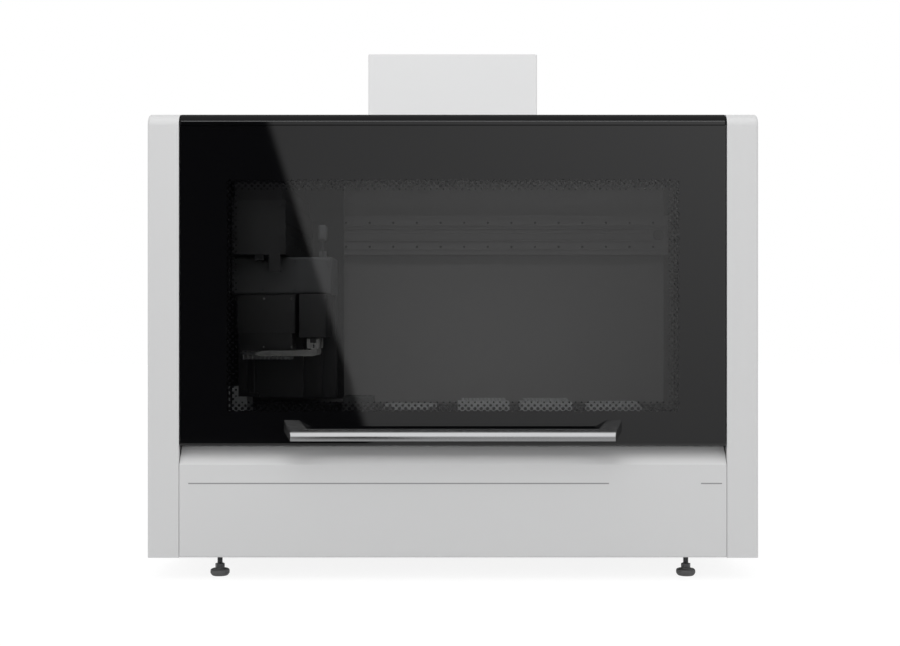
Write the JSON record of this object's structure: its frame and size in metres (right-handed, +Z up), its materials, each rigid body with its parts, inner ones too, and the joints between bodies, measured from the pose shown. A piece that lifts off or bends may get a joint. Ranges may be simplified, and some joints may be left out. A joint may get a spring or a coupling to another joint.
{
  "type": "liquid handling workstation",
  "caption": "Enclosed bench workstation with a lifting black glass sash, a plate deck, a three axis gantry with a nozzle head and a gripper, and a clean air unit on top.",
  "frame": {"origin": "on the floor under the centre of the outer box of the whole workstation", "axes": "+X to the right seen from the front, +Y from the front to the rear, +Z up"},
  "size_m": [1.25, 0.885, 1.125],
  "materials": {
    "panel_paint": "satin light grey powder coat",
    "door_black": "black anodised frame",
    "door_glass": "tinted safety glass with a black printed border",
    "handle_metal": "satin anodised aluminium",
    "frame_steel": "grey painted steel tube",
    "bright_steel": "ground steel",
    "clear_anodised": "clear anodised aluminium",
    "dark_anodised": "dark grey anodised aluminium",
    "chamber_grey": "mid grey painted sheet",
    "dark_steel": "blackened steel",
    "grey_plastic": "grey engineering plastic",
    "dark_plastic": "black moulded plastic",
    "pale_plastic": "pale moulded plastic",
    "rubber": "dark grey rubber",
    "lamp_diffuser": "white lamp diffuser",
    "filter_media": "pleated filter in a pale frame",
    "circuit_board": "green circuit board and zinc plated case"
  },
  "bodies": {
    "root": {"base_frame": "frame_steel", "upper_frame": "frame_steel", "foot_pads": "rubber", "left_side_panel": "panel_paint", "right_side_panel": "panel_paint", "lower_front_panel": "panel_paint", "base_pan": "panel_paint", "top_panel": "panel_paint", "rear_panel": "panel_paint", "connector_panel": "dark_plastic", "electronics_tray": "circuit_board", "gas_spring_tubes": "dark_plastic", "sash_guides": "clear_anodised", "chamber_side_walls": "dark_anodised", "chamber_rear_wall": "chamber_grey", "chamber_lamp": "lamp_diffuser", "deck_plate": "dark_anodised", "deck_nests": "grey_plastic", "waste_bin": "pale_plastic", "tip_racks": "pale_plastic", "microplates": "pale_plastic", "x_beam": "dark_anodised", "x_rails": "dark_steel", "x_belt": "rubber", "x_drive_motor": "dark_plastic", "filter_housing": "panel_paint", "air_filter": "filter_media", "blower_housing": "dark_plastic"},
    "sash": {"door_glass": "door_glass", "door_top_cap": "door_black", "sash_frame": "door_black", "door_handle": "handle_metal", "sash_guide_shoes": "pale_plastic", "gas_spring_rods": "bright_steel"},
    "x_carriage": {"x_carriage": "dark_anodised", "y_arm": "dark_anodised", "cable_tray": "dark_plastic", "y_rail": "bright_steel", "y_arm_end_cap": "dark_anodised", "y_drive_motor": "dark_plastic"},
    "y_screw": {"y_screw": "dark_steel"},
    "y_carriage": {"carriage_housing": "grey_plastic", "head_backplate": "dark_anodised", "gripper_column": "dark_anodised"},
    "z_screw": {"z_screw": "dark_steel"},
    "head": {"head_housing": "grey_plastic", "nozzles": "clear_anodised"},
    "plunger": {"plunger_plate": "clear_anodised"},
    "tip_ejector": {"tip_ejector_plate": "grey_plastic"},
    "gripper": {"gripper_module": "grey_plastic"},
    "front_jaw": {"front_finger": "bright_steel"},
    "rear_jaw": {"rear_finger": "bright_steel"},
    "x_idler": {"x_idler_pulley": "bright_steel"},
    "x_drive": {"x_drive_pulley": "bright_steel"},
    "blower_fan": {"blower_impeller": "dark_plastic"},
    "rocker": {"power_rocker": "dark_plastic"},
    "foot_1": {"foot_stem_1": "dark_steel"},
    "foot_2": {"foot_stem_2": "dark_steel"},
    "foot_3": {"foot_stem_3": "dark_steel"},
    "foot_4": {"foot_stem_4": "dark_steel"}
  },
  "joints": [
    {"name": "sash_lift", "type": "slide", "parent": "root", "child": "sash", "axis": [0, 0, 1], "range_m": [0, 0.4]},
    {"name": "x_travel", "type": "slide", "parent": "root", "child": "x_carriage", "axis": [1, 0, 0], "range_m": [0, 0.78]},
    {"name": "y_travel", "type": "slide", "parent": "x_carriage", "child": "y_carriage", "axis": [0, 1, 0], "range_m": [-0.04, 0.335]},
    {"name": "head_travel", "type": "slide", "parent": "y_carriage", "child": "head", "axis": [0, 0, 1], "range_m": [-0.13, 0]},
    {"name": "plunger_travel", "type": "slide", "parent": "head", "child": "plunger", "axis": [0, 0, 1], "range_m": [-0.025, 0]},
    {"name": "ejector_travel", "type": "slide", "parent": "head", "child": "tip_ejector", "axis": [0, 0, 1], "range_m": [-0.006, 0]},
    {"name": "gripper_travel", "type": "slide", "parent": "y_carriage", "child": "gripper", "axis": [0, 0, 1], "range_m": [-0.14, 0]},
    {"name": "front_jaw_travel", "type": "slide", "parent": "gripper", "child": "front_jaw", "axis": [0, 1, 0], "range_m": [0, 0.008]},
    {"name": "rear_jaw_travel", "type": "slide", "parent": "gripper", "child": "rear_jaw", "axis": [0, -1, 0], "range_m": [0, 0.008]},
    {"name": "y_screw_turn", "type": "hinge", "parent": "x_carriage", "child": "y_screw", "pos_m": [-0.376, 0, 0.646], "axis": [0, 1, 0], "continuous": true},
    {"name": "z_screw_turn", "type": "hinge", "parent": "y_carriage", "child": "z_screw", "pos_m": [-0.441, -0.1415, 0.48], "axis": [0, 0, 1], "continuous": true},
    {"name": "x_idler_turn", "type": "hinge", "parent": "root", "child": "x_idler", "pos_m": [-0.524, 0.2945, 0.75], "axis": [0, 1, 0], "continuous": true},
    {"name": "x_drive_turn", "type": "hinge", "parent": "root", "child": "x_drive", "pos_m": [0.524, 0.2945, 0.75], "axis": [0, 1, 0], "continuous": true},
    {"name": "blower_turn", "type": "hinge", "parent": "root", "child": "blower_fan", "pos_m": [0, 0.0775, 1.04], "axis": [0, 0, 1], "continuous": true},
    {"name": "rocker_tip", "type": "hinge", "parent": "root", "child": "rocker", "pos_m": [-0.47, 0.4355, 0.138], "axis": [1, 0, 0], "range_deg": [0, 8]},
    {"name": "foot_1_turn", "type": "hinge", "parent": "root", "child": "foot_1", "pos_m": [-0.486, -0.3275, 0.04], "axis": [0, 0, 1], "continuous": true},
    {"name": "foot_2_turn", "type": "hinge", "parent": "root", "child": "foot_2", "pos_m": [0.486, -0.3275, 0.04], "axis": [0, 0, 1], "continuous": true},
    {"name": "foot_3_turn", "type": "hinge", "parent": "root", "child": "foot_3", "pos_m": [-0.486, 0.3725, 0.04], "axis": [0, 0, 1], "continuous": true},
    {"name": "foot_4_turn", "type": "hinge", "parent": "root", "child": "foot_4", "pos_m": [0.486, 0.3725, 0.04], "axis": [0, 0, 1], "continuous": true}
  ],
  "couplings": [
    {"joint": "rear_jaw_travel", "follows": "front_jaw_travel", "ratio": 1},
    {"joint": "y_screw_turn", "follows": "y_travel", "rad_per_m": 314.16},
    {"joint": "z_screw_turn", "follows": "head_travel", "rad_per_m": 628.32},
    {"joint": "x_idler_turn", "follows": "x_travel", "rad_per_m": 72.993},
    {"joint": "x_drive_turn", "follows": "x_travel", "rad_per_m": 72.993}
  ]
}
